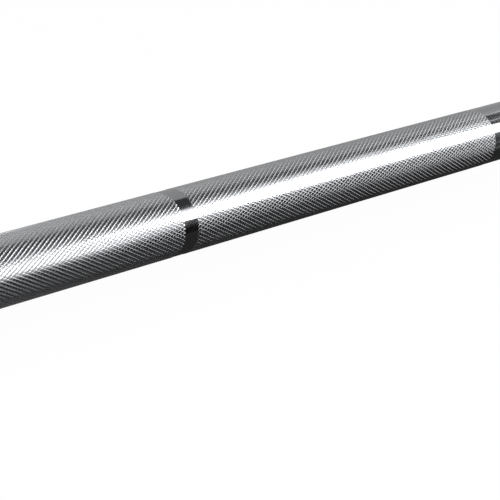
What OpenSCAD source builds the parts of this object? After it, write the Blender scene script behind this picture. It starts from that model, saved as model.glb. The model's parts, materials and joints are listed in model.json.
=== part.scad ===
// Olympic barbell, 20 kg: one solid steel shaft with a turning sleeve on each end.
// The shaft lies along X with its middle at the origin, and +Z is up.
// Every piece of an end is drawn for the right-hand end and mirrored for the left.
// A profile is a list of [radius, distance along the bar].

/* [Shaft] */
// Length of the whole bar, over the ends of the sleeves
bar_length = 2200; // [1900:5:2400]
// Distance between the inner faces of the two collars
grip_length = 1310; // [1200:5:1400]
// Diameter of the plain rod
rod_d = 28; // [26.5:0.1:30]
// Diameter of the journal that each sleeve turns on
journal_d = 25; // [22:0.1:26]
// Bevel on each end of the shaft
shaft_bevel = 1.5; // [0.5:0.1:3]
// Mouth diameter of the lathe centre in each end of the shaft
centre_d = 8; // [4:0.5:12]
// Length of journal outside the retaining ring
shaft_tail = 8; // [4:0.5:16]

/* [Knurl] */
// Height of the knurl's crests above the plain rod
knurl_rise = 0.1; // [0.05:0.01:0.3]
// Length of the knurl in the middle of the bar
centre_knurl_length = 120; // [60:5:250]
// Length of knurl on the inner side of each ring mark
inner_knurl_length = 205; // [100:5:300]
// Distance between the middles of the two ring marks
ring_mark_spacing = 810; // [700:5:910]
// Width of each ring mark, a band of rod without knurl
ring_mark_w = 7.7; // [4:0.1:12]
// Length of plain rod between the outer knurl and the collar
knurl_to_collar = 10; // [4:1:40]

/* [Sleeve] */
// Outer diameter of the sleeve, which takes the plates
sleeve_d = 50; // [48:0.1:52]
// Space all round the journal inside the sleeve, between its bearings
bore_space = 1.6; // [0.5:0.1:2.5]
// Bevel on the outer end of the sleeve
sleeve_bevel = 2.5; // [1:0.5:4]
// How much thicker the sleeve's wall is where the collar is shrunk on
collar_seat_rise = 0.5; // [0.3:0.05:1]
// Diameter of the collar
collar_d = 73; // [60:1:80]
// Width of the collar along the bar
collar_w = 30; // [20:1:40]
// Bevel on the two rims of the collar
collar_bevel = 2; // [0.5:0.5:5]

/* [Needle bearings] */
// Height of the space between journal and cup that a needle fills
needle_space = 2.5; // [2:0.1:3]
// Number of needles in each bearing
needle_count = 20; // [12:1:24]
// Wall thickness of the drawn cup
cup_wall = 1; // [0.6:0.1:1.5]
// Length of the drawn cup
cup_length = 20; // [14:0.5:30]
// Depth of the cup below the ledge that the thrust washer faces
cup_inset = 0.3; // [0.1:0.1:1]
// Space between the journal and the turned-in lips of the cup
cup_lip_space = 0.7; // [0.4:0.1:1.2]
// Radial thickness of the cage
cage_t = 1.5; // [1:0.1:1.8]
// Width of the closed rim at each end of the cage
cage_rim = 1.1; // [0.8:0.1:2]

/* [Thrust washers and retaining ring] */
// Width of the ledge round each bearing that a thrust washer faces
ledge_w = 2; // [1.4:0.1:2.4]
// Thickness of each bronze thrust washer
thrust_t = 2; // [1:0.1:4]
// Thickness of the steel washer behind the retaining ring
washer_t = 3; // [1.5:0.1:5]
// Thickness of the retaining ring on the shaft
ring_t = 1.2; // [1:0.1:2]
// Radial width of the retaining ring
ring_w = 3; // [2.4:0.1:3.2]
// Depth of its groove in the journal
ring_groove_depth = 0.55; // [0.3:0.05:1]
// Radius of the two lugs of the retaining ring
ring_lug_r = 2; // [1.6:0.1:2.2]
// Space between those lugs
ring_lug_space = 6; // [3:0.5:9]
// Play of the sleeve along the shaft
end_float = 0.3; // [0.1:0.05:0.6]

/* [End cap] */
// Thickness of the end cap
cap_t = 8; // [6:0.5:14]
// Width of the ledge that the end cap sits on
cap_ledge_w = 2; // [1:0.1:2.5]
// Depth of the dish in the face of the end cap
cap_dish_depth = 1; // [0.5:0.1:2]
// Width of the rim round that dish
cap_rim_w = 6; // [5:0.5:9]
// Space between the end of the shaft and the end cap
cap_space = 5; // [2:0.5:12]
// Thickness of the snap ring that holds the end cap
snap_t = 1.75; // [1.2:0.05:2.5]
// Radial width of the snap ring
snap_w = 3.6; // [2.5:0.1:4.5]
// Depth of its groove in the sleeve
snap_groove_depth = 1.25; // [0.8:0.05:1.6]
// Radius of the two lugs of the snap ring
snap_lug_r = 2.6; // [2.2:0.1:3]
// Space between those lugs
snap_lug_space = 8; // [4:0.5:12]
// Length of the sleeve outside the snap ring's groove
mouth_lip = 2.5; // [1.5:0.1:4]
// Thickness of the O-ring before it is squeezed
o_ring_t = 2.6; // [2:0.1:3]
// Squeeze of the O-ring between cap and sleeve
o_ring_squeeze = 0.3; // [0.1:0.05:0.5]

/* [Dust seal] */
// Radial width of the dust seal
seal_ring_w = 6; // [5:0.1:7]
// Length of the dust seal along the bar
seal_length = 6; // [4:0.5:10]
// Thickness of the seal's rubber web and wall
seal_wall = 1.8; // [1.2:0.1:2.4]
// Reach of the seal's lip past its web, along the bar
seal_lip_reach = 1.2; // [0.6:0.1:1.8]
// Depth of the seal below the face of the collar
seal_inset = 0.5; // [0.2:0.1:2]
// Space between the seal and the inner thrust washer
seal_to_washer = 1.5; // [0.5:0.1:4]

/* [Clearances] */
// Running clearance on each side of a needle
needle_gap = 0.02; // [0.01:0.005:0.05]
// Clearance round a needle in its pocket of the cage
pocket_gap = 0.05; // [0.03:0.01:0.1]
// Play at each end of the cage inside its cup
cage_end_gap = 0.4; // [0.2:0.1:0.8]
// Clearance between a washer and the journal
washer_bore_gap = 0.1; // [0.05:0.01:0.2]
// Clearance between a washer and the sleeve
washer_rim_gap = 0.2; // [0.1:0.05:0.4]
// Clearance between the lip of the seal and the rod
seal_lip_gap = 0.05; // [0.03:0.01:0.1]
// Play of a ring in the width of its groove
groove_play = 0.1; // [0.05:0.01:0.2]
// Clearance round the end cap
cap_gap = 0.05; // [0.03:0.01:0.1]

/* [Hidden] */
$fn = 96;
chrome = "#c3c7cc";
ground_steel = "#8f949a";
bearing_steel = "#a9adb2";
spring_steel = "#4a4c50";
bronze = "#b1804a";
black_rubber = "#1d1d1f";

rod_r = rod_d / 2;
journal_r = journal_d / 2;
sleeve_r = sleeve_d / 2;
collar_seat_r = sleeve_r + collar_seat_rise;
collar_r = collar_d / 2;

// Radii inside the sleeve, each a step wider than the one before
bore_r = journal_r + bore_space;
race_r = journal_r + needle_space;
cup_r = race_r + cup_wall;
chamber_r = cup_r + ledge_w;
mouth_r = chamber_r + cap_ledge_w;
seal_r = rod_r + seal_ring_w;

// Places along the bar at its inner bearing, outwards from the collar
collar_face = grip_length / 2;
plate_face = collar_face + collar_w;
seal_back = collar_face + seal_inset + seal_length;
shoulder = seal_back + seal_to_washer;
inner_ledge = shoulder + thrust_t + end_float / 2;
inner_cup = inner_ledge + cup_inset;

// Places along the bar at its outer bearing, inwards from the end
sleeve_end = bar_length / 2;
snap_groove = sleeve_end - mouth_lip - snap_t - groove_play;
cap_seat = snap_groove - cap_t;
shaft_end = cap_seat - cap_space;
ring_groove = shaft_end - shaft_tail - ring_t - groove_play;
washer_seat = ring_groove - washer_t;
outer_thrust = washer_seat - thrust_t;
outer_ledge = outer_thrust - end_float / 2;
outer_cup = outer_ledge - cup_inset - cup_length;

// Edges of the knurled lengths
ring_mark = ring_mark_spacing / 2;
ring_mark_inner = ring_mark - ring_mark_w / 2;
ring_mark_outer = ring_mark + ring_mark_w / 2;
outer_knurl_end = collar_face - knurl_to_collar;

// Sizes inside a needle bearing
pitch_r = journal_r + needle_space / 2;
needle_r = needle_space / 2 - needle_gap;
cage_length = cup_length - 2 * (cup_wall + cage_end_gap);
pocket_length = cage_length - 2 * cage_rim;
needle_length = pocket_length - 2 * pocket_gap;

pieces = ["sleeve_tube", "sleeve_collar", "end_cap", "end_cap_o_ring", "end_cap_snap_ring",
    "retaining_ring", "retaining_washer", "outer_thrust_washer", "outer_bearing_cup",
    "outer_bearing_cage", "outer_bearing_needles", "inner_bearing_cup", "inner_bearing_cage",
    "inner_bearing_needles", "inner_thrust_washer", "dust_seal"];
sides = ["left", "right"];

// Turns a shape drawn round Z so that it lies round the bar
module along_bar() {
    rotate([0, 90, 0]) children();
}

// A solid turned from a profile
module turned(profile) {
    along_bar() rotate_extrude() polygon(profile);
}

// A plain length of rod, tube or washer
module round_length(from, to, outer, inner = 0) {
    turned([[inner, from], [outer, from], [outer, to], [inner, to]]);
}

module both_ends() {
    children();
    mirror([1, 0, 0]) children();
}

// The shaft is one bar of steel, turned down to a journal at each end.
// Its knurled lengths stand proud of the rod, and a ring mark is left between two of them.
module shaft() {
    crest_r = rod_r + knurl_rise;
    inner_knurl_end = ring_mark_inner - inner_knurl_length;
    color(chrome) difference() {
        union() {
            round_length(-shoulder, shoulder, rod_r);
            round_length(-centre_knurl_length / 2, centre_knurl_length / 2, crest_r);
            both_ends() {
                round_length(inner_knurl_end, ring_mark_inner, crest_r);
                round_length(ring_mark_outer, outer_knurl_end, crest_r);
                journal();
            }
        }
        both_ends() lathe_centre();
    }
}

// The journal is ground for the needles, with a groove for the retaining ring
module journal() {
    groove_r = journal_r - ring_groove_depth;
    groove_end = ring_groove + ring_t + groove_play;
    turned([[0, 0], [journal_r, 0], [journal_r, ring_groove], [groove_r, ring_groove],
        [groove_r, groove_end], [journal_r, groove_end], [journal_r, shaft_end - shaft_bevel],
        [journal_r - shaft_bevel, shaft_end], [0, shaft_end]]);
}

// A 60 degree cone, left from turning the shaft between centres.
// It is drawn twice as large as its mouth, so that it cuts clean through the end face.
module lathe_centre() {
    depth = centre_d / 2 / tan(30);
    turned([[0, shaft_end - depth], [centre_d, shaft_end + depth], [0, shaft_end + depth]]);
}

// A thick tube, bored in steps from both ends for its bearings, washers, seal and cap
module sleeve_tube() {
    color(chrome) turned([
        [seal_r, collar_face], [collar_seat_r, collar_face],
        [collar_seat_r, plate_face], [sleeve_r, plate_face],
        [sleeve_r, sleeve_end - sleeve_bevel], [sleeve_r - sleeve_bevel, sleeve_end],
        [mouth_r, sleeve_end], [mouth_r, sleeve_end - mouth_lip],
        [mouth_r + snap_groove_depth, sleeve_end - mouth_lip],
        [mouth_r + snap_groove_depth, snap_groove], [mouth_r, snap_groove],
        [mouth_r, cap_seat], [chamber_r, cap_seat], [chamber_r, outer_ledge],
        [cup_r, outer_ledge], [cup_r, outer_cup], [bore_r, outer_cup],
        [bore_r, inner_cup + cup_length], [cup_r, inner_cup + cup_length],
        [cup_r, inner_ledge], [chamber_r, inner_ledge], [chamber_r, seal_back],
        [seal_r, seal_back]]);
}

// The collar is a ring shrunk onto the inner end of the tube, and the plates stop against it
module sleeve_collar() {
    color(chrome) turned([[collar_seat_r, collar_face], [collar_r - collar_bevel, collar_face],
        [collar_r, collar_face + collar_bevel], [collar_r, plate_face - collar_bevel],
        [collar_r - collar_bevel, plate_face], [collar_seat_r, plate_face]]);
}

// The end cap is a turned disc with a shallow dish outside and an O-ring groove in its rim.
// The groove is wider than the O-ring, which spreads as it is squeezed.
module end_cap() {
    cap_r = mouth_r - cap_gap;
    dish_r = mouth_r - cap_rim_w;
    dish_floor = snap_groove - cap_dish_depth;
    groove_r = mouth_r - o_ring_t + o_ring_squeeze;
    groove_w = o_ring_t + 2 * o_ring_squeeze;
    groove_from = cap_seat + (cap_t - groove_w) / 2;
    groove_to = groove_from + groove_w;
    color(chrome) turned([[0, cap_seat], [cap_r, cap_seat], [cap_r, groove_from],
        [groove_r, groove_from], [groove_r, groove_to], [cap_r, groove_to],
        [cap_r, snap_groove], [dish_r + cap_dish_depth, snap_groove], [dish_r, dish_floor],
        [0, dish_floor]]);
}

// The O-ring is flattened where the groove and the sleeve squeeze it
module end_cap_o_ring() {
    width = o_ring_t - o_ring_squeeze;
    color(black_rubber) along_bar() rotate_extrude() intersection() {
        translate([mouth_r - width / 2, cap_seat + cap_t / 2]) circle(d = o_ring_t);
        translate([mouth_r - width, cap_seat]) square([width, cap_t]);
    }
}

// A stamped ring, open at the bottom, that ends in two lugs with an eye for the pliers.
// The lugs stand on the outer edge of a shaft ring, or on the inner edge of a bore ring.
module open_ring(from, thickness, inner, outer, lug_at, lug_r, lug_space) {
    lug_turn = asin((lug_space / 2 + lug_r) / lug_at);
    far = 2 * outer;
    translate([from, 0, 0]) along_bar() linear_extrude(thickness) difference() {
        union() {
            difference() {
                circle(outer);
                circle(inner);
                polygon([[0, 0], far * [cos(lug_turn), -sin(lug_turn)],
                    far * [cos(lug_turn), sin(lug_turn)]]);
            }
            both_lugs(lug_at, lug_turn, lug_r);
        }
        both_lugs(lug_at, lug_turn, lug_r / 2);
    }
}

module both_lugs(lug_at, lug_turn, radius) {
    for (turn = [-lug_turn, lug_turn]) rotate(turn) translate([lug_at, 0]) circle(radius);
}

module end_cap_snap_ring() {
    outer = mouth_r + snap_groove_depth;
    inner = outer - snap_w;
    color(spring_steel)
        open_ring(snap_groove, snap_t, inner, outer, inner, snap_lug_r, snap_lug_space);
}

module retaining_ring() {
    inner = journal_r - ring_groove_depth;
    outer = inner + ring_w;
    color(spring_steel)
        open_ring(ring_groove, ring_t, inner, outer, outer, ring_lug_r, ring_lug_space);
}

// A washer that is free on the journal and just clears the sleeve
module washer(from, thickness) {
    round_length(from, from + thickness, chamber_r - washer_rim_gap, journal_r + washer_bore_gap);
}

module retaining_washer() {
    color(ground_steel) washer(washer_seat, washer_t);
}

module outer_thrust_washer() {
    color(bronze) washer(outer_thrust, thrust_t);
}

module inner_thrust_washer() {
    color(bronze) washer(shoulder, thrust_t);
}

// A cup drawn from sheet and pressed into the sleeve, with both ends turned in
module bearing_cup(from) {
    lip_r = journal_r + cup_lip_space;
    to = from + cup_length;
    color(bearing_steel) turned([[lip_r, from], [cup_r, from], [cup_r, to], [lip_r, to],
        [lip_r, to - cup_wall], [race_r, to - cup_wall], [race_r, from + cup_wall],
        [lip_r, from + cup_wall]]);
}

// A cage with one pocket for each needle, held by the waist of the pocket
module bearing_cage(cup_from) {
    from = cup_from + (cup_length - cage_length) / 2;
    color(bearing_steel) difference() {
        round_length(from, from + cage_length, pitch_r + cage_t / 2, pitch_r - cage_t / 2);
        each_needle(from + cage_rim, pocket_length, needle_r + pocket_gap);
    }
}

module bearing_needles(cup_from) {
    color(bearing_steel)
        each_needle(cup_from + (cup_length - needle_length) / 2, needle_length, needle_r);
}

module each_needle(from, length, radius) {
    for (i = [0 : needle_count - 1])
        translate([from, 0, 0]) rotate([i * 360 / needle_count, 0, 0]) along_bar()
            translate([pitch_r, 0, 0]) cylinder(h = length, r = radius, $fn = 32);
}

// A rubber ring pressed into the sleeve, with a slanted lip that wipes the rod
module dust_seal() {
    front = collar_face + seal_inset;
    web_back = front + seal_wall;
    lip_r = rod_r + seal_lip_gap;
    wall_r = seal_r - seal_wall;
    color(black_rubber) turned([[lip_r + seal_wall / 2, front], [seal_r, front],
        [seal_r, seal_back], [wall_r, seal_back], [wall_r, web_back],
        [lip_r + seal_wall, web_back], [lip_r + seal_wall / 4, web_back + seal_lip_reach],
        [lip_r, web_back + seal_lip_reach], [lip_r, web_back]]);
}

shaft();
for (side = sides) mirror([side == "left" ? 1 : 0, 0, 0]) {
    sleeve_tube();
    sleeve_collar();
    end_cap();
    end_cap_o_ring();
    end_cap_snap_ring();
    retaining_ring();
    retaining_washer();
    outer_thrust_washer();
    bearing_cup(outer_cup);
    bearing_cage(outer_cup);
    bearing_needles(outer_cup);
    bearing_cup(inner_cup);
    bearing_cage(inner_cup);
    bearing_needles(inner_cup);
    inner_thrust_washer();
    dust_seal();
}
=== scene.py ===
# Looks of an olympic barbell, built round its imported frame.
# Lengths are in metres. The bar lies along X with its middle at the origin, and +Z is up.
# A point of the bar is given by x, by its radius, and by its angle round X from +Y towards +Z.
import json
import math

import bpy
import numpy as np
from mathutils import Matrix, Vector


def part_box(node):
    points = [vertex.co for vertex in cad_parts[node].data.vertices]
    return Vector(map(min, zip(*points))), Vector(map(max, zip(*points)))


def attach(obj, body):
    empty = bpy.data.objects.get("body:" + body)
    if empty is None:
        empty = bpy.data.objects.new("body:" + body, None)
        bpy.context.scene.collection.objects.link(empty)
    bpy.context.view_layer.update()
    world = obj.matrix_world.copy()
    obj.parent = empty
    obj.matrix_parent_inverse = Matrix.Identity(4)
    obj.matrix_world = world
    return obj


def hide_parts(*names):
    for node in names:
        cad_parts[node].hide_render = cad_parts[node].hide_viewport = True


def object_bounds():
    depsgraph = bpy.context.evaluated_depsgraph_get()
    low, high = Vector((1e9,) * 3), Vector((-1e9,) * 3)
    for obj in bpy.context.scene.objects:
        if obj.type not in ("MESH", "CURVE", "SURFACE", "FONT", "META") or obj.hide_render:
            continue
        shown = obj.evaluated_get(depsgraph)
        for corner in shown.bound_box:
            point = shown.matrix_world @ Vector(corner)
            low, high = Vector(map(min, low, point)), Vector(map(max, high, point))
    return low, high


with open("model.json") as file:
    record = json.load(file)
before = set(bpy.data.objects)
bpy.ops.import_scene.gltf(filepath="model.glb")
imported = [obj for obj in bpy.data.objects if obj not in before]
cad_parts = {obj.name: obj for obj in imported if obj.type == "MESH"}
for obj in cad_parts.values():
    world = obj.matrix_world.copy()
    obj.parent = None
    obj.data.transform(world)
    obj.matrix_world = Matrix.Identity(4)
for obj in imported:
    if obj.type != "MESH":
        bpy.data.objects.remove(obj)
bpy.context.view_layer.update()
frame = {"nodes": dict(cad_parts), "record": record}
SIDES = {"left": -1, "right": 1}
MM = 0.001

# Camera
# It stands in front of the left sleeve and looks down and along the bar through a long lens. The
# frame holds the left ring mark with knurl on both sides of it, and the start of the plain rod.
CAMERA_PLACE = (-0.93375, -0.55280, 0.22303)
CAMERA_HEADING = math.radians(46.283)  # turned from +Y towards +X
CAMERA_PITCH = math.radians(17.066)  # below the horizon
CAMERA_LENS = 136.8  # mm
CAMERA_SENSOR = 36  # mm wide

camera = bpy.data.objects.new("camera", bpy.data.cameras.new("camera"))
camera.location = CAMERA_PLACE
camera.rotation_euler = (math.pi / 2 - CAMERA_PITCH, 0, -CAMERA_HEADING)
camera.data.lens = CAMERA_LENS
camera.data.sensor_width = CAMERA_SENSOR
bpy.context.scene.collection.objects.link(camera)
bpy.context.scene.camera = camera
bpy.context.scene.view_settings.view_transform = "Standard"

# Knurled grip
# The shaft is one drawn and ground rod of alloy steel. Two hardened rolls press two families of
# helical grooves into it, which cross and leave diamonds, and hard chrome is plated over them.
ROD_RADIUS = 14 * MM
KNURL_STARTS = 52  # grooves of one family round the rod
KNURL_PITCH = 3.03 * MM  # distance along the rod between grooves of one family
KNURL_DEPTH = 0.085 * MM
GROOVE_HALF_WIDTH = 0.155  # in pitches, from the bottom of a groove to its brink
BRINK_SOFTNESS = 0.2  # how much the brinks are rounded
CROSSING_SHARPNESS = 4  # how sharply the deeper cut wins where two grooves cross
STATIONS = (0, GROOVE_HALF_WIDTH, 0.5, 1 - GROOVE_HALF_WIDTH)  # mesh lines of one pitch
ROW_PULL = 0.25  # rows up to this share of a step outside a length are drawn in to its end
CREASE_INSET = 0.2  # share of the way from a corner to the face's middle where its normal is read

knurl_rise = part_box("shaft")[1].z - ROD_RADIUS


def knurl_radius(along, angle):
    """Radius of the knurled rod. A groove is a round channel: its cut falls off with the square of
    the distance from its middle, with a softened brink. That distance is taken in a phase that
    grows along the rod and round it, one way or the other. Where two grooves cross, the deeper
    cut wins, softly."""
    turns = KNURL_STARTS * angle / math.tau
    both = 0
    for sense in (-1, 1):
        phase = along / KNURL_PITCH + sense * turns
        arch = 1 - ((phase - np.round(phase)) / GROOVE_HALF_WIDTH) ** 2
        cut = (arch + np.sqrt(arch**2 + BRINK_SOFTNESS**2)) / 2
        both = both + cut**CROSSING_SHARPNESS
    return ROD_RADIUS + knurl_rise - KNURL_DEPTH * both ** (1 / CROSSING_SHARPNESS)


def round_bar(along, radius, angle):
    """Points at a place along the bar, a radius and an angle, as an array of X, Y and Z."""
    along, radius, angle = np.broadcast_arrays(along, radius, angle)
    return np.stack([along, radius * np.cos(angle), radius * np.sin(angle)], axis=-1)


def knurl_normal(along, angle):
    """Outward normal: the radial direction, less the slopes of the radius along and round the rod,
    which are read over a small step and a small turn to either side."""
    step, turn = 0.01 * MM, 0.001
    radius = knurl_radius(along, angle)
    ahead = knurl_radius(along + step, angle)
    behind = knurl_radius(along - step, angle)
    above = knurl_radius(along, angle + turn)
    below = knurl_radius(along, angle - turn)
    slope_along = (ahead - behind) / (2 * step)
    slope_round = (above - below) / (2 * turn) / radius
    radial = round_bar(0.0, 1.0, angle)
    tangent = round_bar(0.0, 1.0, angle + math.pi / 2)
    normal = radial - slope_round[..., None] * tangent
    normal[..., 0] -= slope_along
    return normal / np.linalg.norm(normal, axis=-1, keepdims=True)


def inset_normals(faces, along, angle):
    """A normal for each corner of each face, read a little way in from the corner towards the
    face's middle, so that the creases between faces stay crisp. The angles of a face are first
    brought within half a turn of its first corner's."""
    normals = []
    for group in faces:
        x, turn = along.ravel()[group], angle.ravel()[group]
        turn = turn[:, :1] + (turn - turn[:, :1] + math.pi) % math.tau - math.pi
        x = x + CREASE_INSET * (x.mean(axis=1, keepdims=True) - x)
        turn = turn + CREASE_INSET * (turn.mean(axis=1, keepdims=True) - turn)
        normals.append(knurl_normal(x, turn).reshape(-1, 3))
    return np.concatenate(normals)


def solid(name, points, normals, faces, ends):
    """A closed mesh object with a given normal at each corner of each face. faces are arrays of
    point numbers, and ends are flat faces across the bar, as (point numbers, direction along X)."""
    mesh = bpy.data.meshes.new(name)
    every_face = [face for group in faces for face in group.tolist()]
    every_face += [end.tolist() for end, _ in ends]
    mesh.from_pydata(points.reshape(-1, 3).tolist(), [], every_face, shade_flat=False)
    flat = [np.tile([float(direction), 0.0, 0.0], (len(end), 1)) for end, direction in ends]
    mesh.normals_split_custom_set(np.concatenate([normals, *flat]).tolist())
    made = bpy.data.objects.new(name, mesh)
    bpy.context.scene.collection.objects.link(made)
    return made


def knurl_phase(line):
    """Phase of a mesh line of one family, counted from the groove at x 0 and angle 0. The lines
    follow the bottom and the brinks of each groove, and the middle of each crest."""
    return line // len(STATIONS) + np.array(STATIONS)[line % len(STATIONS)]


def knurl_faces(number, odd):
    """Faces over zigzag rows of numbered points: diamonds that each span three rows, and the
    triangles that fill the first and last rows. odd tells the rows that lie half a step on."""
    after = np.roll(number, -1, axis=1)
    before = np.roll(number, 1, axis=1)
    upper = np.where(odd[:-1], after[1:], number[1:])  # next row, half a step on
    lower = np.where(odd[:-1], number[1:], before[1:])  # next row, half a step back
    gap = np.where(odd[-1], after[-2], number[-2])  # last row but one, half a step on
    diamonds = np.stack([number[:-2], upper[:-1], number[2:], lower[:-1]], axis=-1)
    first = np.stack([number[0], after[0], upper[0]], axis=-1)
    last = np.stack([number[-1], gap, after[-1]], axis=-1)
    return [diamonds.reshape(-1, 4), first, last]


def knurled_length(name, start, end, share=(0, 1)):
    """A share of a knurled length of rod. Its points are the crossings of the two families' mesh
    lines, so that no face bridges a brink. They are taken in zigzag rows across the rod, and the
    first and last rows of the whole length are cut off square."""
    step = KNURL_PITCH / (2 * len(STATIONS))
    head, tail = math.ceil(start / step - ROW_PULL), math.floor(end / step + ROW_PULL)
    first_row, last_row = (head + round(s * (tail - head)) for s in share)
    per_row = len(STATIONS) * KNURL_STARTS
    row, place = np.mgrid[first_row : last_row + 1, 0:per_row]
    rising = knurl_phase((row + row % 2) // 2 + place)
    falling = knurl_phase((row - row % 2) // 2 - place)
    along = KNURL_PITCH * (rising + falling) / 2
    along = np.where(row == head, start, np.where(row == tail, end, along))
    angle = (rising - falling) * math.pi / KNURL_STARTS
    points = round_bar(along, knurl_radius(along, angle), angle)
    number = (row - first_row) * per_row + place
    faces = knurl_faces(number, row % 2 == 1)
    ends = [(number[0][::-1], -1), (number[-1], 1)]
    return solid(name, points, inset_normals(faces, along, angle), faces, ends)


def linear(hex_colour):
    """The linear colour of an sRGB hex value, by the sRGB curve."""
    shares = [int(hex_colour[i : i + 2], 16) / 255 for i in (1, 3, 5)]
    return [s / 12.92 if s <= 0.04045 else ((s + 0.055) / 1.055) ** 2.4 for s in shares] + [1]


def node(tree, kind, inputs=None, **settings):
    """Adds one node. An input is a value, or what is linked to it: an output socket of another
    node, or the node itself for its first output."""
    made = tree.nodes.new(kind)
    for name, value in settings.items():
        setattr(made, name, value)
    for name, value in (inputs or {}).items():
        if isinstance(value, bpy.types.Node):
            value = value.outputs[0]
        if isinstance(value, bpy.types.NodeSocket):
            tree.links.new(value, made.inputs[name])
        else:
            made.inputs[name].default_value = value
    return made


def new_material(name):
    """An empty node material and its node tree."""
    material = bpy.data.materials.new(name)
    material.use_nodes = True
    material.node_tree.nodes.clear()
    return material, material.node_tree


# Hard chrome over knurling: smooth on the crests, duller down in the grooves, where the rolls tore the
# steel.
# Its colour darkens towards the groove bottoms: partly dust that stays there, partly painted shade in
# the hollows
CHROME = "#c4c6c9"
GROOVE_DUST_AND_SHADE = "#b9bbbe"
CREST_MATT = 0.15
GROOVE_MATT = 0.26
GRAIN = 0.25 * MM  # of the plating, drawn coarser than real so that it shows
GRAIN_RISE = 0.02 * MM
MIX_A, MIX_B, MIX_RESULT = 6, 7, 2  # a Mix node's sockets for colours, whose names aren't unique

knurl_chrome, tree = new_material("hard_chrome_knurled")
place = node(tree, "ShaderNodeTexCoord").outputs["Object"]
across = node(tree, "ShaderNodeVectorMath", {0: place, 1: (0, 1, 1)}, operation="MULTIPLY")
radius = node(tree, "ShaderNodeVectorMath", {0: across}, operation="LENGTH").outputs["Value"]
crest = ROD_RADIUS + knurl_rise
depth = {"Value": radius, "From Min": crest, "From Max": crest - KNURL_DEPTH}
depth = node(tree, "ShaderNodeMapRange", depth)
matt = node(tree, "ShaderNodeMapRange", {"Value": depth, "To Min": CREST_MATT, "To Max": GROOVE_MATT})
# the colour goes darker with depth into a groove: dust, and painted shade in the hollows
tone = {"Factor": depth, MIX_A: linear(CHROME), MIX_B: linear(GROOVE_DUST_AND_SHADE)}
tone = node(tree, "ShaderNodeMix", tone, data_type="RGBA").outputs[MIX_RESULT]
grain = node(tree, "ShaderNodeTexNoise", {"Vector": place, "Scale": 1 / GRAIN, "Detail": 2})
bump = node(tree, "ShaderNodeBump", {"Height": grain, "Strength": 0.12, "Distance": GRAIN_RISE})
chrome = node(
    tree,
    "ShaderNodeBsdfPrincipled",
    {"Base Color": tone, "Metallic": 1.0, "Roughness": matt, "Normal": bump},
)
node(tree, "ShaderNodeOutputMaterial", {"Surface": chrome})


def box_ends(name):
    """Where a CAD node starts and ends along the bar."""
    return [corner.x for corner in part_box(name)]


# Places of the knurled lengths, from the middle outwards
RING_MARK = 405 * MM  # middle of the ring mark
RING_MARK_WIDTH = 7.7 * MM
CENTRE_KNURL_LENGTH = 120 * MM
INNER_KNURL_LENGTH = 205 * MM
BARE_END = 10 * MM  # of the rod, between the outer knurl and the collar
collar_face = box_ends("right_sleeve_collar")[0]
centre_knurl_end = CENTRE_KNURL_LENGTH / 2
mark_inside = RING_MARK - RING_MARK_WIDTH / 2
mark_outside = RING_MARK + RING_MARK_WIDTH / 2
inner_knurl = (mark_inside - INNER_KNURL_LENGTH, mark_inside)
outer_knurl = (mark_outside, collar_face - BARE_END)


def finish_piece(piece, body, slot, material, *nodes):
    """Gives a finished piece its material and its body, and hides the nodes that it stands for. slot is
    not used.
    """
    piece.data.materials.append(material)
    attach(piece, body)
    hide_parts(*nodes)


# Each long stretch is made as two halves, because as one it would pass 200,000 triangles
HALVES = {"left_half": (0, 0.5), "right_half": (0.5, 1)}
knurled = [knurled_length("centre_knurl", -centre_knurl_end, centre_knurl_end)]
for side, sign in SIDES.items():
    for stretch, ends in {"inner": inner_knurl, "outer": outer_knurl}.items():
        low, high = sorted(sign * x for x in ends)
        for half, share in HALVES.items():
            knurled.append(knurled_length(f"{side}_{stretch}_knurl_{half}", low, high, share))
for piece in knurled:
    finish_piece(piece, "shaft", "chrome_shaft", knurl_chrome, "shaft")

# Plain rod
# Between the knurled lengths the rod is left as it was ground and plated. The two ring marks are
# narrow bands of it, cut clean through the knurl, which show where the hands go.
ROUND_STEPS = 192
FILLET_STEPS = 6
MOST_OF_EDGE = 0.45  # the share of an edge that a rounded corner may take up
ROD_EDGE = 0.02 * MM
END_HUB = ROD_RADIUS / 8  # round the axis, an end is one flat face of this radius


def corner_arc(before, corner, after, radius):
    """Points and outward normals of an arc that rounds a corner. It leaves one edge and meets the
    next without a kink, so it starts and ends the radius times tan(turn / 2) from the corner."""
    way_in, way_out = corner - before, after - corner
    shorter = min(np.linalg.norm(way_in), np.linalg.norm(way_out))
    way_in, way_out = way_in / np.linalg.norm(way_in), way_out / np.linalg.norm(way_out)
    turn = math.atan2(way_in[0] * way_out[1] - way_in[1] * way_out[0], way_in @ way_out)
    setback = min(radius * abs(math.tan(turn / 2)), MOST_OF_EDGE * shorter)
    arc = setback / abs(math.tan(turn / 2)) * math.copysign(1, turn)
    centre = corner - setback * way_in + arc * np.array([-way_in[1], way_in[0]])
    heading = math.atan2(way_in[1], way_in[0]) + turn * np.linspace(0, 1, FILLET_STEPS)
    outward = np.stack([np.sin(heading), -np.cos(heading)], axis=-1)
    return centre + arc * outward, outward


def loose_end(point, way):
    """The point where an open outline starts or stops, with the normal to its way there."""
    way = way / np.linalg.norm(way)
    return point[None], np.array([[way[1], -way[0]]])


def fillets(corners, radius, closed):
    """Rounds the corners of an outline of (x, radius) points that has the material on its left.
    Gives the points and the outward normals."""
    corners = np.array(corners, float)
    count = len(corners)
    turning = range(count) if closed else range(1, count - 1)
    arcs = [corner_arc(corners[i - 1], corners[i], corners[(i + 1) % count], radius) for i in turning]
    if not closed:
        arcs.insert(0, loose_end(corners[0], corners[1] - corners[0]))
        arcs.append(loose_end(corners[-1], corners[-1] - corners[-2]))
    points, normals = zip(*arcs)
    return np.concatenate(points), np.concatenate(normals)


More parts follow.
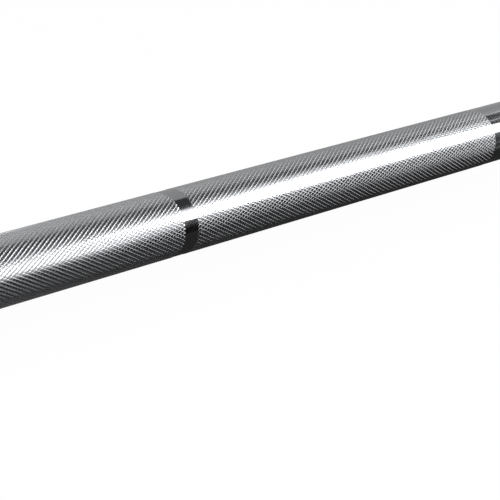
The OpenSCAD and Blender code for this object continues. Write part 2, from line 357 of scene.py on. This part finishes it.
def turned(name, corners, radius, sign=1, closed=True):
    """A solid of revolution about X, with its corners rounded to a radius. Its outline is drawn for
    the right-hand end of the bar, with the material on its left, and sign -1 mirrors it. An open
    outline ends in two flat faces."""
    if sign < 0:
        corners = [(-x, r) for x, r in reversed(corners)]
    outline, outward = fillets(corners, radius, closed)
    angle = np.arange(ROUND_STEPS) * math.tau / ROUND_STEPS
    points = round_bar(outline[:, :1], outline[:, 1:], angle)
    normals = round_bar(outward[:, :1], outward[:, 1:], angle).reshape(-1, 3)
    number = np.arange(len(outline) * ROUND_STEPS).reshape(-1, ROUND_STEPS)
    following = np.roll(number, -1, axis=0) if closed else number[1:]
    current = number if closed else number[:-1]
    quads = [current, following, np.roll(following, -1, axis=1), np.roll(current, -1, axis=1)]
    faces = np.stack(quads, axis=-1).reshape(-1, 4)
    ends = []
    if not closed:
        facing = 1 if outline[0, 0] > outline[-1, 0] else -1
        ends = [(number[0][::facing], facing), (number[-1][::-facing], -facing)]
    return solid(name, points, normals[faces.ravel()], [faces], ends)


def plain_length(name, start, end):
    """A plain length of the rod, from right to left so that the material is on its left."""
    corners = [(end, END_HUB), (end, ROD_RADIUS), (start, ROD_RADIUS), (start, END_HUB)]
    return turned(name, corners, ROD_EDGE, closed=False)


# Hard chrome over a ground rod: a mirror, with faint rings left by the grinding wheel. They are
# drawn coarser than real, so that they show
GRINDING_RINGS = (2.6 / MM, 0.06 / MM, 0.06 / MM)  # how many to a length along X, Y and Z
TOOL_MARK_RISE = 0.004 * MM
ROD_MATT = 0.1

rod_chrome, tree = new_material("hard_chrome_ground")
place = node(tree, "ShaderNodeTexCoord").outputs["Object"]
rings = node(tree, "ShaderNodeMapping", {"Vector": place, "Scale": GRINDING_RINGS})
lines = node(tree, "ShaderNodeTexNoise", {"Vector": rings, "Detail": 2})
bump = node(tree, "ShaderNodeBump", {"Height": lines, "Strength": 0.1, "Distance": TOOL_MARK_RISE})
chrome = node(
    tree,
    "ShaderNodeBsdfPrincipled",
    {"Base Color": linear(CHROME), "Metallic": 1.0, "Roughness": ROD_MATT, "Normal": bump},
)
node(tree, "ShaderNodeOutputMaterial", {"Surface": chrome})

shoulder = box_ends("right_inner_thrust_washer")[0]
plain_stretches = {
    "plain_rod": (centre_knurl_end, inner_knurl[0]),
    "ring_mark": (mark_inside, mark_outside),
    "rod_end": (outer_knurl[1], shoulder),
}
for side, sign in SIDES.items():
    for name, ends in plain_stretches.items():
        piece = plain_length(f"{side}_{name}", *sorted(sign * x for x in ends))
        finish_piece(piece, "shaft", "chrome_shaft", rod_chrome, "shaft")

# Journals
# Past its shoulder the shaft is turned down and ground for the needles. A groove holds the
# retaining ring, and the end still has the cone that the rod was turned on.
JOURNAL_RADIUS = 12.5 * MM
EDGE = 0.25 * MM  # edges are broken to about this radius
SHAFT_BEVEL = 1.5 * MM
CONE_RADIUS = 4 * MM
CONE_HALF_ANGLE = math.radians(30)
RING_SLACK = 0.1 * MM  # how much wider than its ring a groove is
RING_GROOVE_DEPTH = 0.55 * MM
shaft_end = box_ends("shaft")[1]
ring_seat, ring_face = box_ends("right_retaining_ring")
groove_radius = JOURNAL_RADIUS - RING_GROOVE_DEPTH
cone_tip = (shaft_end - (CONE_RADIUS - EDGE) / math.tan(CONE_HALF_ANGLE), EDGE)
journal_outline = [
    cone_tip,
    (shaft_end, CONE_RADIUS),
    (shaft_end, JOURNAL_RADIUS - SHAFT_BEVEL),
    (shaft_end - SHAFT_BEVEL, JOURNAL_RADIUS),
    (ring_face + RING_SLACK, JOURNAL_RADIUS),
    (ring_face + RING_SLACK, groove_radius),
    (ring_seat, groove_radius),
    (ring_seat, JOURNAL_RADIUS),
    (shoulder, JOURNAL_RADIUS),
    (shoulder, EDGE),
]
for side, sign in SIDES.items():
    journal = turned(f"{side}_journal", journal_outline, EDGE, sign, closed=False)
    finish_piece(journal, "shaft", "chrome_shaft", rod_chrome, "shaft")

# Sleeve tube
# A thick steel tube, polished and chromed. It is bored in steps from both ends, for the bearings,
# the thrust washers, the dust seal and the end cap, and plates slide along its outside.
CUP_INSET = 0.3 * MM
SLEEVE_BEVEL = 2.5 * MM
CHAMBER_CLEARANCE = 0.2 * MM
BORE_CLEARANCE = 1.6 * MM
CAP_CLEARANCE = 0.05 * MM


def box_radius(name):
    """Outer radius of a round CAD node."""
    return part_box(name)[1].y


sleeve_end = box_ends("right_sleeve_tube")[1]
plate_face = box_ends("right_sleeve_collar")[1]
seal_front, seal_back = box_ends("right_dust_seal")
inner_cup = box_ends("right_inner_bearing_cup")
outer_cup = box_ends("right_outer_bearing_cup")
cap_seat, cap_face = box_ends("right_end_cap")
snap_groove = box_ends("right_end_cap_snap_ring")[1] + RING_SLACK

pin = next(m for m in frame["record"]["mounts"] if m["name"] == "right_sleeve")
sleeve_radius = pin["dims"]["r_mm"] * MM
seat_radius = box_radius("right_sleeve_tube")
seal_radius = box_radius("right_dust_seal")
chamber_radius = box_radius("right_retaining_washer") + CHAMBER_CLEARANCE
cup_radius = box_radius("right_inner_bearing_cup")
bore_radius = JOURNAL_RADIUS + BORE_CLEARANCE
mouth_radius = box_radius("right_end_cap") + CAP_CLEARANCE
snap_radius = box_radius("right_end_cap_snap_ring")
tube_outline = [
    (collar_face, seal_radius),
    (seal_back, seal_radius),
    (seal_back, chamber_radius),
    (inner_cup[0] - CUP_INSET, chamber_radius),
    (inner_cup[0] - CUP_INSET, cup_radius),
    (inner_cup[1], cup_radius),
    (inner_cup[1], bore_radius),
    (outer_cup[0], bore_radius),
    (outer_cup[0], cup_radius),
    (outer_cup[1] + CUP_INSET, cup_radius),
    (outer_cup[1] + CUP_INSET, chamber_radius),
    (cap_seat, chamber_radius),
    (cap_seat, mouth_radius),
    (cap_face, mouth_radius),
    (cap_face, snap_radius),
    (snap_groove, snap_radius),
    (snap_groove, mouth_radius),
    (sleeve_end, mouth_radius),
    (sleeve_end, sleeve_radius - SLEEVE_BEVEL),
    (sleeve_end - SLEEVE_BEVEL, sleeve_radius),
    (plate_face, sleeve_radius),
    (plate_face, seat_radius),
    (collar_face, seat_radius),
]

# Polished chrome: a mirror, dulled here and there by long streaks where plates have slid on, over
# the fine rings left by the lathe. Both are drawn coarser than real, so that they show
SLIDING_STREAKS = (0.012 / MM, 1.4 / MM, 1.4 / MM)
LATHE_RINGS = (1.8 / MM, 0.04 / MM, 0.04 / MM)
RUBBED_PATCHES = 0.045 / MM
BRIGHT_MATT = 0.07
RUBBED_MATT = 0.19

sleeve_chrome, tree = new_material("polished_chrome_sleeve")
place = node(tree, "ShaderNodeTexCoord").outputs["Object"]
along_tube = node(tree, "ShaderNodeMapping", {"Vector": place, "Scale": SLIDING_STREAKS})
streaks = node(tree, "ShaderNodeTexNoise", {"Vector": along_tube, "Detail": 3})
cloudy = node(tree, "ShaderNodeTexNoise", {"Vector": place, "Scale": RUBBED_PATCHES, "Detail": 2})
rubbed = node(tree, "ShaderNodeMath", {0: streaks, 1: cloudy}, operation="MULTIPLY")
matt = {"Value": rubbed, "From Min": 0.15, "From Max": 0.4, "To Min": BRIGHT_MATT, "To Max": RUBBED_MATT}
matt = node(tree, "ShaderNodeMapRange", matt)
turning = node(tree, "ShaderNodeMapping", {"Vector": place, "Scale": LATHE_RINGS})
lines = node(tree, "ShaderNodeTexNoise", {"Vector": turning, "Detail": 1})
bump = node(tree, "ShaderNodeBump", {"Height": lines, "Strength": 0.08, "Distance": TOOL_MARK_RISE})
chrome = node(
    tree,
    "ShaderNodeBsdfPrincipled",
    {"Base Color": linear(CHROME), "Metallic": 1.0, "Roughness": matt, "Normal": bump},
)
node(tree, "ShaderNodeOutputMaterial", {"Surface": chrome})

for side, sign in SIDES.items():
    tube = turned(f"{side}_chromed_tube", tube_outline, EDGE, sign)
    finish_piece(tube, f"{side}_sleeve", "chrome_sleeve", sleeve_chrome, f"{side}_sleeve_tube")

# Collar
# A ring of steel, shrunk onto the inner end of the tube and chromed with it. Plates stop
# against its outer face.
COLLAR_BEVEL = 2 * MM
COLLAR_EDGE = 2 * EDGE
collar_radius = box_radius("right_sleeve_collar")
collar_outline = [
    (collar_face, seat_radius),
    (plate_face, seat_radius),
    (plate_face, collar_radius - COLLAR_BEVEL),
    (plate_face - COLLAR_BEVEL, collar_radius),
    (collar_face + COLLAR_BEVEL, collar_radius),
    (collar_face, collar_radius - COLLAR_BEVEL),
]
for side, sign in SIDES.items():
    collar = turned(f"{side}_chromed_collar", collar_outline, COLLAR_EDGE, sign)
    finish_piece(collar, f"{side}_sleeve", "chrome_sleeve", sleeve_chrome, f"{side}_sleeve_collar")

# End cap
# A turned steel disc that closes the sleeve, with a shallow dish in its face and a groove in its
# rim for an O-ring. The tool left fine rings on the face, which the chrome still shows.
CAP_RIM = 6 * MM  # width of the raised rim round the dish
DISH_DEPTH = 1 * MM
CAP_HUB = 0.5 * MM  # round the axis, a face of the cap is one flat of this radius
O_RING_GROOVE_WIDTH = 3.2 * MM
O_RING_GROOVE_DEPTH = 2.3 * MM  # inwards from the bore of the sleeve's mouth
cap_radius = box_radius("right_end_cap")
dish_radius = mouth_radius - CAP_RIM
o_ring_middle = sum(box_ends("right_end_cap_o_ring")) / 2
cap_groove = (o_ring_middle - O_RING_GROOVE_WIDTH / 2, o_ring_middle + O_RING_GROOVE_WIDTH / 2)
cap_groove_radius = mouth_radius - O_RING_GROOVE_DEPTH
cap_outline = [
    (cap_face - DISH_DEPTH, CAP_HUB),
    (cap_face - DISH_DEPTH, dish_radius),
    (cap_face, dish_radius + DISH_DEPTH),
    (cap_face, cap_radius),
    (cap_groove[1], cap_radius),
    (cap_groove[1], cap_groove_radius),
    (cap_groove[0], cap_groove_radius),
    (cap_groove[0], cap_radius),
    (cap_seat, cap_radius),
    (cap_seat, CAP_HUB),
]

# Chrome over a faced disc: rings round the bar's axis, one for each 0.3 mm that the tool moved in
FACING_FEED = 0.3 * MM
STRAY = 0.1 * MM  # how far a ring strays from round
STRAYS = 0.15 / MM  # how often it does
FACING_RISE = 0.003 * MM
CAP_MATT = 0.14

cap_chrome, tree = new_material("faced_chrome_cap")
place = node(tree, "ShaderNodeTexCoord").outputs["Object"]
across = node(tree, "ShaderNodeVectorMath", {0: place, 1: (0, 1, 1)}, operation="MULTIPLY")
radius = node(tree, "ShaderNodeVectorMath", {0: across}, operation="LENGTH").outputs["Value"]
wander = node(tree, "ShaderNodeTexNoise", {"Vector": place, "Scale": STRAYS, "Detail": 1})
strayed = node(tree, "ShaderNodeMath", {0: wander, 1: STRAY, 2: radius}, operation="MULTIPLY_ADD")
phase = node(tree, "ShaderNodeMath", {0: strayed, 1: math.tau / FACING_FEED}, operation="MULTIPLY")
rings = node(tree, "ShaderNodeMath", {0: phase}, operation="SINE")
bump = node(tree, "ShaderNodeBump", {"Height": rings, "Strength": 0.25, "Distance": FACING_RISE})
chrome = node(
    tree,
    "ShaderNodeBsdfPrincipled",
    {"Base Color": linear(CHROME), "Metallic": 1.0, "Roughness": CAP_MATT, "Normal": bump},
)
node(tree, "ShaderNodeOutputMaterial", {"Surface": chrome})

for side, sign in SIDES.items():
    cap = turned(f"{side}_faced_end_cap", cap_outline, EDGE, sign, closed=False)
    finish_piece(cap, f"{side}_sleeve", "chrome_sleeve", cap_chrome, f"{side}_end_cap")

# Snap rings and retaining rings
# Both are stamped from spring steel strip, tumbled to take off the sharp edges and blackened.
# The snap ring holds the end cap in the sleeve, and the retaining ring holds the sleeve on.
STAMPED_EDGE = 0.15 * MM
SHARP = math.radians(40)  # an edge that turns more than this is broken
SAME_POINT = 0.001 * MM


def softened_copy(name, original):
    """A copy of a CAD node, with its loose triangles joined and its sharp edges broken."""
    mesh = frame["nodes"][original].data.copy()
    mesh.materials.clear()
    made = bpy.data.objects.new(name, mesh)
    bpy.context.scene.collection.objects.link(made)
    weld = made.modifiers.new("weld", "WELD")
    weld.merge_threshold = SAME_POINT
    bevel = made.modifiers.new("bevel", "BEVEL")
    bevel.width = STAMPED_EDGE
    bevel.segments = 2
    bevel.limit_method = "ANGLE"
    bevel.angle_limit = SHARP
    bevel.harden_normals = True
    return made


# Blackened spring steel: dark oxide, a little brown, worn bright in specks under a millimetre wide
OXIDE = "#2b2a29"
WORN_OXIDE = "#56544f"
SPECKS = 1.5 / MM
OXIDE_RISE = 0.01 * MM
OXIDE_MATT = 0.38

black_steel, tree = new_material("blackened_spring_steel")
place = node(tree, "ShaderNodeTexCoord").outputs["Object"]
specks = node(tree, "ShaderNodeTexNoise", {"Vector": place, "Scale": SPECKS, "Detail": 4})
worn = node(tree, "ShaderNodeMapRange", {"Value": specks, "From Min": 0.45, "From Max": 0.75})
tone = {"Factor": worn, MIX_A: linear(OXIDE), MIX_B: linear(WORN_OXIDE)}
tone = node(tree, "ShaderNodeMix", tone, data_type="RGBA").outputs[MIX_RESULT]
bump = node(tree, "ShaderNodeBump", {"Height": specks, "Strength": 0.3, "Distance": OXIDE_RISE})
steel = node(
    tree,
    "ShaderNodeBsdfPrincipled",
    {"Base Color": tone, "Metallic": 1.0, "Roughness": OXIDE_MATT, "Normal": bump},
)
node(tree, "ShaderNodeOutputMaterial", {"Surface": steel})

for side in SIDES:
    for name, body in {"end_cap_snap_ring": f"{side}_sleeve", "retaining_ring": "shaft"}.items():
        ring = softened_copy(f"{side}_stamped_{name}", f"{side}_{name}")
        finish_piece(ring, body, "spring_steel", black_steel, f"{side}_{name}")

# Dust seal and O-ring
# Both are moulded from black nitrile rubber. The seal is pressed into the mouth of the sleeve and
# its slanted lip wipes the rod, and the O-ring sits in the rim of the end cap.
SEAL_WALL = 1.8 * MM
SEAL_LIP_REACH = 1.2 * MM
LIP_CLEARANCE = 0.05 * MM
lip_radius = ROD_RADIUS + LIP_CLEARANCE
web_back = seal_front + SEAL_WALL
seal_outline = [
    (seal_front, lip_radius + SEAL_WALL / 2),
    (web_back, lip_radius),
    (web_back + SEAL_LIP_REACH, lip_radius),
    (web_back + SEAL_LIP_REACH, lip_radius + SEAL_WALL / 4),
    (web_back, lip_radius + SEAL_WALL),
    (web_back, seal_radius - SEAL_WALL),
    (seal_back, seal_radius - SEAL_WALL),
    (seal_back, seal_radius),
    (seal_front, seal_radius),
]

# Nitrile rubber: matt black with a soft sheen, finely pitted by the mould, 3 pits to the millimetre
NITRILE = "#1b1b1c"
MOULD_PITS = 3 / MM
PIT_DEPTH = 0.02 * MM
NITRILE_IOR = 1.52

rubber, tree = new_material("moulded_nitrile_rubber")
place = node(tree, "ShaderNodeTexCoord").outputs["Object"]
pits = node(tree, "ShaderNodeTexNoise", {"Vector": place, "Scale": MOULD_PITS, "Detail": 3})
bump = node(tree, "ShaderNodeBump", {"Height": pits, "Strength": 0.35, "Distance": PIT_DEPTH})
matt = {"Value": pits, "From Min": 0.3, "From Max": 0.7, "To Min": 0.5, "To Max": 0.7}
matt = node(tree, "ShaderNodeMapRange", matt)
gum = node(
    tree,
    "ShaderNodeBsdfPrincipled",
    {"Base Color": linear(NITRILE), "Roughness": matt, "IOR": NITRILE_IOR, "Normal": bump},
)
node(tree, "ShaderNodeOutputMaterial", {"Surface": gum})


def new_finish(material, slot, *names):
    """CAD nodes whose shape is right keep it, and take a material. slot is not used."""
    for name in names:
        kept = frame["nodes"][name]
        kept.data.materials.clear()
        kept.data.materials.append(material)


for side, sign in SIDES.items():
    seal = turned(f"{side}_moulded_dust_seal", seal_outline, EDGE, sign)
    finish_piece(seal, f"{side}_sleeve", "black_rubber", rubber, f"{side}_dust_seal")
    new_finish(rubber, "black_rubber", f"{side}_end_cap_o_ring")

# Needle bearings
# Each is a cup drawn from thin steel strip, with a cage of the same steel and twenty needles,
# hardened and then ground and lapped.

# Hardened bearing steel: even grey, with lapping lines that dull it unevenly, drawn coarser than
# real so that they show
BEARING_STEEL = "#a9adb2"
LAPPING_LINES = (2.5 / MM, 0.3 / MM, 0.3 / MM)

bearing_steel, tree = new_material("hardened_bearing_steel")
place = node(tree, "ShaderNodeTexCoord").outputs["Object"]
stretched = node(tree, "ShaderNodeMapping", {"Vector": place, "Scale": LAPPING_LINES})
lines = node(tree, "ShaderNodeTexNoise", {"Vector": stretched, "Detail": 3})
matt = {"Value": lines, "From Min": 0.3, "From Max": 0.7, "To Min": 0.18, "To Max": 0.3}
matt = node(tree, "ShaderNodeMapRange", matt)
steel = {"Base Color": linear(BEARING_STEEL), "Metallic": 1.0, "Roughness": matt}
steel = node(tree, "ShaderNodeBsdfPrincipled", steel)
node(tree, "ShaderNodeOutputMaterial", {"Surface": steel})
for side in SIDES:
    for which in ("inner", "outer"):
        for part in ("cup", "cage", "needles"):
            new_finish(bearing_steel, "bearing_steel", f"{side}_{which}_bearing_{part}")

# Washers
# The retaining washer is steel, ground flat on both faces. The thrust washers are bronze, turned
# and left plain, and they take the sleeve's push along the shaft.

# Ground steel and turned bronze: bare metal with a dull shine in straight lines, drawn coarser
# than real so that they show
GROUND_STEEL = "#8f949a"
BRONZE = "#b1804a"
WASHER_LINES = (0.3 / MM, 0.3 / MM, 2.5 / MM)

for name, slot, hex_colour, parts in (
    ("flat_ground_steel", "ground_steel", GROUND_STEEL, ("retaining_washer",)),
    ("turned_bronze", "bronze", BRONZE, ("outer_thrust_washer", "inner_thrust_washer")),
):
    washer_metal, tree = new_material(name)
    place = node(tree, "ShaderNodeTexCoord").outputs["Object"]
    crossed = node(tree, "ShaderNodeMapping", {"Vector": place, "Scale": WASHER_LINES})
    lines = node(tree, "ShaderNodeTexNoise", {"Vector": crossed, "Detail": 3})
    matt = {"Value": lines, "From Min": 0.3, "From Max": 0.7, "To Min": 0.25, "To Max": 0.4}
    matt = node(tree, "ShaderNodeMapRange", matt)
    metal = {"Base Color": linear(hex_colour), "Metallic": 1.0, "Roughness": matt}
    metal = node(tree, "ShaderNodeBsdfPrincipled", metal)
    node(tree, "ShaderNodeOutputMaterial", {"Surface": metal})
    for side in SIDES:
        new_finish(washer_metal, slot, *(f"{side}_{part}" for part in parts))

# Studio
# A floor of white paper under a white sky, and one large softbox beyond each end of the bar, on
# the camera's side.
WHITE = linear("#ffffff")
PAPER = (0.8, 0.8, 0.8, 1)  # linear: it gives back 80% of the light
PAPER_GLOW = 1.06
GLOW_SHARE = 0.9  # of what the camera sees of the paper, the rest being lit
FILL = 0.35  # strength of the sky as a light
FLOOR_REACH = 120.0
floor_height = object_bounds()[0].z


def plate(name, corners):
    """A flat plate through the given corners."""
    mesh = bpy.data.meshes.new(name)
    mesh.from_pydata(corners, [], [range(len(corners))])
    made = bpy.data.objects.new(name, mesh)
    bpy.context.scene.collection.objects.link(made)
    return made


def background_share(tree):
    """1 for rays that should see the plain background: from the camera, a mirror or glass."""
    path = node(tree, "ShaderNodeLightPath").outputs
    seen = node(tree, "ShaderNodeMath", {0: path["Is Camera Ray"], 1: path["Is Glossy Ray"]})
    return node(tree, "ShaderNodeMath", {0: seen, 1: path["Is Transmission Ray"]}, use_clamp=True)


paper, tree = new_material("white_paper")
diffuse = node(tree, "ShaderNodeBsdfDiffuse", {"Color": PAPER})
glow = node(tree, "ShaderNodeEmission", {"Color": WHITE, "Strength": PAPER_GLOW})
amount = {0: background_share(tree), 1: GLOW_SHARE}
amount = node(tree, "ShaderNodeMath", amount, operation="MULTIPLY")
mixed = node(tree, "ShaderNodeMixShader", {0: amount, 1: diffuse, 2: glow})
node(tree, "ShaderNodeOutputMaterial", {"Surface": mixed})
floor_corners = [(x * FLOOR_REACH, y * FLOOR_REACH) for x, y in ((-1, -1), (1, -1), (1, 1), (-1, 1))]
floor = plate("floor", [(x, y, floor_height) for x, y in floor_corners])
floor.data.materials.append(paper)
floor.visible_glossy = False  # the chrome sees the cards below it instead

world = bpy.data.worlds.new("white_world")
bpy.context.scene.world = world
world.use_nodes = True
world.cycles.sampling_method = "NONE"
tree = world.node_tree
tree.nodes.clear()
strength = {0: background_share(tree), 1: 1 - FILL, 2: FILL}
strength = node(tree, "ShaderNodeMath", strength, operation="MULTIPLY_ADD")
sky = node(tree, "ShaderNodeBackground", {"Color": WHITE, "Strength": strength})
node(tree, "ShaderNodeOutputWorld", {"Surface": sky})

SOFTBOX_RADIANCE = 7.0
SOFTBOX_DISTANCE = 3.0
SOFTBOX_Y = (-3.6, -1.6)
SOFTBOX_Z = (0.88, 2.6)
for side, sign in SIDES.items():
    lamp = bpy.data.lights.new(f"{side}_softbox", "AREA")
    lamp.shape = "RECTANGLE"
    lamp.size = SOFTBOX_Z[1] - SOFTBOX_Z[0]
    lamp.size_y = SOFTBOX_Y[1] - SOFTBOX_Y[0]
    lamp.energy = SOFTBOX_RADIANCE * math.pi * lamp.size * lamp.size_y
    softbox = bpy.data.objects.new(f"{side}_softbox", lamp)
    softbox.location = (sign * SOFTBOX_DISTANCE, sum(SOFTBOX_Y) / 2, sum(SOFTBOX_Z) / 2)
    softbox.rotation_euler = (0, sign * math.pi / 2, 0)
    softbox.visible_camera = False
    bpy.context.scene.collection.objects.link(softbox)

# Cards
# Polished metal looks like what stands round it. Cloths hang on all sides of the bar, dark where
# the chrome is dark, with paler panels in front of them. They show only in reflections.
ROOM = 6.0  # the cloths hang this far from the bar on every side
PIT = -4.0  # height of the table that the cloths reach down to
TABLE_EDGE = -0.3  # below this height the cloths behind the bar are dark
MIDDLE = 2.9  # the middle cloths in front and above reach this far either way along the bar
BACK_MIDDLE = 4.6  # and those behind the bar this far
SHADE = 0.8  # the cloths at the ends are dark up to this Y, and paler behind it
PANEL_PLANE = ROOM - 0.1  # the panels hang just in front of the cloths
STRIP_PLANE = ROOM - 0.15
CAP_PLANE = ROOM - 0.2  # and what the end caps show hangs in front of the panels
HALO_GAP = 0.02  # between a softbox and the halo behind it


def reflected_only(name, radiance, corners):
    """A plate of even radiance that shows only in reflections, and that throws no shadow."""
    hung = plate(name, corners)
    hung.visible_camera = hung.visible_diffuse = hung.visible_shadow = False
    hung.visible_transmission = hung.visible_volume_scatter = False
    cloth, tree = new_material(name)
    glow = node(tree, "ShaderNodeEmission", {"Strength": radiance})
    node(tree, "ShaderNodeOutputMaterial", {"Surface": glow})
    hung.data.materials.append(cloth)


def card(name, radiance, *spans):
    """A flat card that shows only in reflections. Of its three spans, along X, Y and Z, one is a
    single place and the others are pairs."""
    flat = next(i for i, span in enumerate(spans) if not isinstance(span, tuple))
    across, up = [i for i in range(3) if i != flat]
    corners = np.full((4, 3), float(spans[flat]))
    corners[:, across] = [spans[across][i] for i in (0, 1, 1, 0)]
    corners[:, up] = [spans[up][i] for i in (0, 0, 1, 1)]
    reflected_only(name, radiance, corners.tolist())


def outwards(sign, near, far):
    """A span along X on one side of the bar's middle, its lower end first."""
    return tuple(sorted((sign * near, sign * far)))


# Cloths round the middle of the bar, from the table up the front, over the top and down the back
card("middle_table", 0.5, (-1.5, 1.5), (-ROOM, ROOM), PIT)
card("middle_front_low", 0.3, (-2.5, 2.5), -PANEL_PLANE, (PIT, -0.9))
card("middle_front_cloth", 0.03, (-MIDDLE, MIDDLE), -ROOM, (PIT, ROOM))
card("middle_ceiling_front", 0.15, (-MIDDLE, MIDDLE), (-ROOM, -2.7), ROOM)
card("middle_ceiling", 0.42, (-MIDDLE, MIDDLE), (-2.7, -1.4), ROOM)
card("middle_ceiling_back", 1.4, (-MIDDLE, MIDDLE), (-1.4, ROOM), ROOM)
card("middle_back_cloth", 1.2, (-BACK_MIDDLE, BACK_MIDDLE), ROOM, (TABLE_EDGE, ROOM))
card("middle_back_low", 0.05, (-BACK_MIDDLE, BACK_MIDDLE), ROOM, (PIT, TABLE_EDGE))
for side, sign in SIDES.items():
    beyond = outwards(sign, MIDDLE, ROOM)
    panel_x, cap_x = sign * PANEL_PLANE, sign * CAP_PLANE
    halo_x = sign * (SOFTBOX_DISTANCE + HALO_GAP)

    # Cloths beyond the middle, in the same order, and across the end
    card(f"{side}_table", 0.028, outwards(sign, 1.5, ROOM), (-ROOM, ROOM), PIT)
    card(f"{side}_front_cloth", 0.009, beyond, -ROOM, (PIT, ROOM))
    card(f"{side}_ceiling_front", 0.05, beyond, (-ROOM, SHADE), ROOM)
    card(f"{side}_ceiling_back", 0.37, beyond, (SHADE, ROOM), ROOM)
    card(f"{side}_back_cloth", 0.09, outwards(sign, BACK_MIDDLE, ROOM), ROOM, (PIT, ROOM))
    card(f"{side}_wall_front", 0.05, sign * ROOM, (-ROOM, SHADE), (PIT, ROOM))
    card(f"{side}_wall_back", 0.42, sign * ROOM, (SHADE, ROOM), (TABLE_EDGE, ROOM))
    card(f"{side}_wall_low", 0.036, sign * ROOM, (SHADE, ROOM), (PIT, TABLE_EDGE))

    # Panels across the end: pale ones, and a grey one over a dark one for the end cap
    card(f"{side}_panel", 1.4, panel_x, (-3, 3), (TABLE_EDGE, 3.6))
    card(f"{side}_panel_front", 2.2, panel_x, (-4.4, -3), (TABLE_EDGE, 1.4))
    card(f"{side}_panel_top", 2.4, panel_x, (-1.5, 1.6), (3.6, 4.4))
    card(f"{side}_low_panel", 1.25, panel_x, (-4.2, 0), (-2.0, TABLE_EDGE))
    card(f"{side}_low_panel_foot", 1.3, panel_x, (-3.2, 0), (-3.4, -2.0))
    card(f"{side}_high_panel", 2.2, sign * SOFTBOX_DISTANCE, (-0.8, 0.4), (1.0, 2.2))
    card(f"{side}_softbox_halo", 1.2, halo_x, (-3.0, -0.8), (2.45, 3.1))
    card(f"{side}_end_grey", 0.6, cap_x, (-0.8, 0.8), (0.3, 0.8))
    card(f"{side}_end_dark", 0.1, cap_x, (-0.8, 0.8), (-0.8, 0.3))

    # Pale panels along the front
    card(f"{side}_front_strip", 3.0, outwards(sign, 0.9, 2.3), -STRIP_PLANE, (1.7, 2.2))
    card(f"{side}_front_panel", 3.0, outwards(sign, 2.8, 4.5), -PANEL_PLANE, (0.0, 3.2))
    card(f"{side}_front_panel_foot", 1.1, outwards(sign, 2.8, 4.4), -PANEL_PLANE, (-1.2, 0.0))

# The grey backdrop stands beyond the bar as the camera sees it, and faces the left ring mark
BACKDROP_HEADING = math.radians(38)  # from +X towards +Y
BACKDROP_DISTANCE = 4.0
BACKDROP_HALF_WIDTH = 1.12
BACKDROP_TOP = 3.2
facing = np.array([math.cos(BACKDROP_HEADING), math.sin(BACKDROP_HEADING)])
sideways = np.array([-facing[1], facing[0]])
foot_middle = np.array([-RING_MARK, 0]) + BACKDROP_DISTANCE * facing
foot = [foot_middle + way * BACKDROP_HALF_WIDTH * sideways for way in (-1, 1)]
low = [(*end, TABLE_EDGE) for end in foot]
high = [(*end, BACKDROP_TOP) for end in reversed(foot)]
reflected_only("grey_backdrop", 0.38, low + high)
